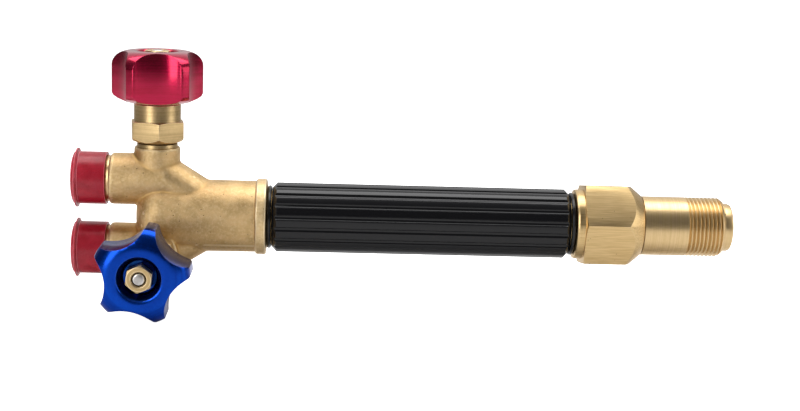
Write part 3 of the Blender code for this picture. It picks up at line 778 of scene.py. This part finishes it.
def outline_bar(name, points, low, high, matrix):
    """A bar with the given outline in millimetres, along the matrix's Z axis."""
    curve = bpy.data.curves.new(name, "CURVE")
    curve.dimensions = "2D"
    curve.fill_mode = "BOTH"
    curve.extrude = (high - low) / 2 * MM
    spline = curve.splines.new("POLY")
    spline.points.add(len(points) - 1)
    for target, point in zip(spline.points, points):
        target.co = (point.x * MM, point.y * MM, 0.0, 1.0)
    spline.use_cyclic_u = True
    obj = bpy.data.objects.new(name, curve)
    bpy.context.scene.collection.objects.link(obj)
    bpy.ops.object.select_all(action="DESELECT")
    obj.select_set(True)
    bpy.context.view_layer.objects.active = obj
    bpy.ops.object.convert(target="MESH")
    start_edit(obj)
    bpy.ops.mesh.remove_doubles(threshold=0.002 * MM)
    bpy.ops.mesh.normals_make_consistent(inside=False)
    end_edit()
    return place(obj, matrix @ Matrix.Translation((0.0, 0.0, (low + high) / 2 * MM)))


rim = 14.8
shoulder = (8.3, 10.9)
shoulder_height = 5.4
for gas in ("fuel", "oxygen"):
    base = 24.7 + REACH[gas]
    profile = [(6.2, 15.5), (6.75, 16.1), (7.3, 16.3)]
    for step in range(11):
        angle = math.pi / 2 * step / 10
        radius = shoulder[0] + (rim - shoulder[0]) * math.sin(angle)
        profile.append((radius, shoulder[1] + shoulder_height * math.cos(angle)))
    profile += [
        (rim, 2.9),
        (14.1, 1.8),
        (12.6, 1.0),
        (9.0, 0.0),
        (2.9, 0.0),
        (2.9, 6.0),
        (2.15, 6.0),
        (2.15, 12.3),
        (4.9, 12.3),
        (5.5, 13.6),
    ]
    profile = [(radius, height + base) for radius, height in profile]
    knob = lathe(gas + "_knob_turned", profile, VALVE[gas], 160, ring=True)
    turned_round = VALVE[gas] @ Matrix.Rotation(math.radians(KNOB_TURN[gas]), 4, "Z")
    outline = lobed_outline(rim, notch=11.6, distance=21.8, fillet=0.8)
    combine(knob, outline_bar("lobes", outline, base - 2.0, base + 18.0, turned_round), "INTERSECT")
    dress(knob, ANODISED[gas], gas + "_control", WORN_DYE[gas])
    break_edges(knob, 0.20, 2, 24.0, material=1)
    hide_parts(gas + "_knob")


# Knob nuts
# Small brass hexagon nuts, chamfered on top, screwed onto the stems' ends in the knobs' recesses.

for gas in ("fuel", "oxygen"):
    low = 37.3 + REACH[gas]
    flats = 7.5
    corner = flats / 2 / math.cos(math.pi / 6)
    profile = [
        (2.5, low + 3.8),
        (corner - 0.75, low + 3.8),
        (corner - 0.25, low + 3.6),
        (corner + 0.1, low + 3.25),
        (corner + 0.1, low),
        (2.15, low),
        (2.15, low + 3.5),
    ]
    nut = lathe(gas + "_knob_nut_turned", profile, VALVE[gas], 72, ring=True)
    bar = hexagon_bar(flats, low=low - 1.0, high=low + 5.0, turn=-7.0, matrix=VALVE[gas])
    combine(nut, bar, "INTERSECT")
    dress(nut, TURNED_BRASS[VALVE_AXIS[gas]], gas + "_control", WORN_BRASS)
    break_edges(nut, 0.10, 2, 20.0, material=1)
    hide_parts(gas + "_knob_nut")


# Inlet caps
# Soft moulded plastic, dyed red and a little see-through, pushed over the inlet threads to keep dirt out.
# Each has a thin lip round its closed end to pull it off by.


def soft_plastic(name, dark, light):
    material, tree, shader, here = new_material(
        name, subsurface_weight=0.2, subsurface_scale=0.003, metallic=0.0
    )
    shader.inputs["Subsurface Radius"].default_value = (1.0, 0.12, 0.15)
    shader.inputs["Specular IOR Level"].default_value = 0.4
    vector = in_mm(tree, here)
    clouds = new_node(tree, "ShaderNodeTexNoise", {"Vector": vector, "Scale": 0.35, "Detail": 3.0})
    grain = new_node(tree, "ShaderNodeTexNoise", {"Vector": vector, "Scale": 4.0, "Detail": 2.0})
    cloud = spread(tree, clouds.outputs["Fac"], 0.3, 0.7)
    colour = mixed(tree, cloud, dark, light)
    tree.links.new(colour, shader.inputs["Base Color"])
    rough = maths(tree, "MULTIPLY_ADD", grain.outputs["Fac"], 0.15, 0.22)
    tree.links.new(rough, shader.inputs["Roughness"])
    bump(tree, shader, grain.outputs["Fac"], 0.15, 0.05)
    return material


CAP_PLASTIC = soft_plastic("red_cap_plastic", (0.34, 0.006, 0.019), (0.47, 0.018, 0.038))
CAP_EDGE = soft_plastic("red_cap_thin_edge", (0.62, 0.09, 0.12), (0.74, 0.15, 0.19))
for gas in ("fuel", "oxygen"):
    profile = [
        (0.0, 61.8),
        (4.2, 61.72),
        (7.1, 61.45),
        (8.1, 61.1),
        (8.35, 60.6),
        (8.6, 60.35),
        (9.45, 60.3),
        (9.45, 59.85),
        (8.7, 59.75),
        (8.35, 59.3),
        (8.35, 50.7),
        (7.45, 50.7),
        (7.45, 59.5),
        (0.0, 59.5),
    ]
    cap = lathe(gas + "_cap_moulded", profile, INLET[gas], 96)
    dress(cap, CAP_PLASTIC, gas + "_cap", CAP_EDGE)
    break_edges(cap, 0.16, 3, 30.0, material=1)
    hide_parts(gas + "_inlet_cap")


# Packing, washers and gas tubes
# They are out of sight: a brass washer and a soft white ring under each gland nut, and two drawn copper
# tubes from the valve body to the head. Their plain turned shapes are right, so only the finish is new.


def kept(node, material):
    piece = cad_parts[node]
    piece.data.materials.clear()
    piece.data.materials.append(material)


def packing_cord():
    material, tree, shader, here = new_material("packing", metallic=0.0)
    vector = in_mm(tree, here)
    weave = new_node(tree, "ShaderNodeTexNoise", {"Vector": vector, "Scale": 3.0, "Detail": 3.0})
    colour = mixed(tree, weave.outputs["Fac"], (0.62, 0.60, 0.55), (0.82, 0.80, 0.76))
    tree.links.new(colour, shader.inputs["Base Color"])
    rough = maths(tree, "MULTIPLY_ADD", weave.outputs["Fac"], 0.2, 0.5)
    tree.links.new(rough, shader.inputs["Roughness"])
    bump(tree, shader, weave.outputs["Fac"], 0.4, 0.1)
    return material


COPPER = turned_metal("drawn_copper", "X", (0.48, 0.20, 0.11), (0.70, 0.36, 0.22), 0.32, 0.6)
PACKING = packing_cord()
for gas in ("fuel", "oxygen"):
    kept(gas + "_packing_washer", TURNED_BRASS[VALVE_AXIS[gas]])
    kept(gas + "_packing", PACKING)
    kept(gas + "_tube", COPPER)


# Grip
# A moulded black plastic tube, polished, with eighteen shallow flutes along it and chamfered ends. It
# slides over the spigots of the valve body and the head, and is held between two rubber rings.


def gloss_black(name, colour, grey, roughness, spots):
    """Black plastic or rubber with faint dust, scuffs and a slightly uneven gloss."""
    material, tree, shader, here = new_material(name, metallic=0.0)
    shader.inputs["Specular IOR Level"].default_value = 0.38
    vector = in_mm(tree, here)
    dust = new_node(tree, "ShaderNodeTexNoise", {"Vector": vector, "Scale": 1.7, "Detail": 5.0})
    gloss = new_node(tree, "ShaderNodeTexNoise", {"Vector": vector, "Scale": 0.15, "Detail": 2.0})
    waves = new_node(tree, "ShaderNodeTexNoise", {"Vector": vector, "Scale": 0.25, "Detail": 1.0})
    specks = spread(tree, dust.outputs["Fac"], 0.68, 0.78)
    specks = maths(tree, "MULTIPLY", specks, spots)
    tone = mixed(tree, specks, colour, grey)
    tree.links.new(tone, shader.inputs["Base Color"])
    rough = maths(tree, "MULTIPLY_ADD", gloss.outputs["Fac"], 0.08, roughness)
    rough = maths(tree, "MULTIPLY_ADD", specks, 0.3, rough)
    tree.links.new(rough, shader.inputs["Roughness"])
    bump(tree, shader, waves.outputs["Fac"], 0.08, 0.2)
    return material


GRIP_PLASTIC = gloss_black("grip_plastic", (0.004, 0.004, 0.005), (0.03, 0.03, 0.03), 0.05, 0.3)
RUBBER = gloss_black("ring_rubber", (0.006, 0.006, 0.006), (0.04, 0.04, 0.04), 0.15, 0.5)

tube = [
    (9.6, 97.2),
    (11.1, 95.7),
    (11.1, 3.3),
    (9.6, 1.8),
    (8.9, 1.8),
    (8.9, 97.2),
]
grip = lathe("grip_fluted", tube, AXIS, 144, ring=True)
flutes = []
flute_middle = 11.45
for flute in range(18):
    angle = math.radians(20.0 * flute)
    spot = (flute_middle * MM * math.cos(angle), flute_middle * MM * math.sin(angle), 49.5 * MM)
    bpy.ops.object.select_all(action="DESELECT")
    bpy.ops.mesh.primitive_cylinder_add(vertices=24, radius=0.86 * MM, depth=110.0 * MM)
    flutes.append(place(bpy.context.object, AXIS @ Matrix.Translation(spot)))
combine(grip, join(flutes[0], flutes[1:]), "DIFFERENCE")
break_edges(grip, 0.14, 2, 22.0)
dress(grip, GRIP_PLASTIC, "handle")
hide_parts("grip_tube")

for name, middle in (("rear_grip_ring", 0.9), ("front_grip_ring", 98.05)):
    bpy.ops.object.select_all(action="DESELECT")
    bpy.ops.mesh.primitive_torus_add(
        major_segments=96, minor_segments=20, major_radius=9.4 * MM, minor_radius=0.72 * MM
    )
    ring = place(bpy.context.object, AXIS @ Matrix.Translation((0.0, 0.0, middle * MM)))
    ring.name = name + "_moulded"
    apply_modifier(ring, "SUBSURF", levels=1, render_levels=1)
    bpy.ops.object.shade_smooth()
    dress(ring, RUBBER, "handle")
    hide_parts(name)


# Head
# Machined from brass hexagon bar: a round collar towards the grip, the hexagon, and a cone down to the
# outlet. The flats show fine lines of the drawn bar and a few dents.

flats = 25.0
corner = flats / 2 / math.cos(math.pi / 6)
profile = [
    (5.0, 120.7),
    (9.7, 120.7),
    (10.0, 120.4),
    (corner + 0.1, 115.0),
    (corner + 0.1, 101.9),
    (corner - 1.3, 101.5),
    (11.25, 101.5),
    (11.25, 99.7),
    (11.02, 99.1),
    (10.45, 98.9),
    (8.6, 98.9),
    (8.6, 89.5),
    (8.0, 88.9),
    (5.0, 88.9),
]
head = lathe("head_machined", profile, AXIS, 128, ring=True)
combine(head, hexagon_bar(flats, low=87.0, high=122.0, turn=-8.7, matrix=AXIS), "INTERSECT")


def bar_brass():
    """Drawn brass bar: long faint lines, dents, and a skin a little darker than the turned pieces."""
    material, tree, shader, here = new_material("bar_brass", metallic=1.0)
    vector = in_mm(tree, here)
    stretched = new_node(tree, "ShaderNodeMapping", {"Vector": vector, "Scale": (0.12, 2.2, 2.2)})
    lines = new_node(
        tree, "ShaderNodeTexNoise", {"Vector": stretched.outputs[0], "Scale": 1.2, "Detail": 3.0}
    ).outputs["Fac"]
    skin = new_node(tree, "ShaderNodeGroup", node_tree=BLASTED_SKIN)
    tree.links.new(here, skin.inputs["Vector"])
    skin.inputs["Grain"].default_value = 2.5
    colour = mixed(tree, spread(tree, lines, 0.35, 0.68), (0.58, 0.40, 0.18), (0.72, 0.52, 0.26))
    colour = mixed(tree, skin.outputs["Pits"], colour, (0.30, 0.18, 0.08))
    tree.links.new(colour, shader.inputs["Base Color"])
    rough = maths(tree, "MULTIPLY_ADD", lines, 0.12, 0.26)
    tree.links.new(rough, shader.inputs["Roughness"])
    height = maths(tree, "MULTIPLY_ADD", skin.outputs["Height"], 0.35, lines)
    bump(tree, shader, height, 0.3, 0.04)
    return material


dress(head, bar_brass(), "handle", WORN_BRASS)
break_edges(head, 0.18, 2, 18.0, material=1)
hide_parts("head")


# Outlet
# Turned brass, screwed and soldered into the head. A mixer and tip screw onto its 3/4-20 thread, and the
# mixer's tail goes into the socket in its end.

blank = [
    (7.0, 150.0),
    (7.45, 149.8),
    (7.7, 149.2),
    (7.7, 147.2),
    (8.55, 147.2),
    (8.75, 147.0),
    (8.75, 136.0),
    (9.525, 135.1),
    (9.525, 121.0),
    (8.0, 121.0),
    (8.0, 111.0),
    (3.0, 111.0),
    (3.0, 131.2),
    (5.6, 132.7),
    (5.6, 149.6),
    (6.0, 150.0),
]
outlet = lathe("outlet_turned", blank, AXIS, 128, ring=True)
crests = [
    (8.2, 146.9),
    (8.75, 146.9),
    (9.25, 146.3),
    (9.525, 145.9),
    (9.525, 134.4),
    (8.2, 134.4),
]
crests = lathe("outlet_thread", crests, AXIS, 112, ring=True)
thread = screw_thread(
    "bar", crest=9.62, root=8.70, pitch=1.27, low=134.0, high=147.5, matrix=AXIS, steps=96
)
combine(crests, thread, "INTERSECT")
join(outlet, [crests])
break_edges(outlet, 0.07, 1, 50.0)
dress(outlet, TURNED_BRASS["X"], "handle")
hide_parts("outlet_spigot")
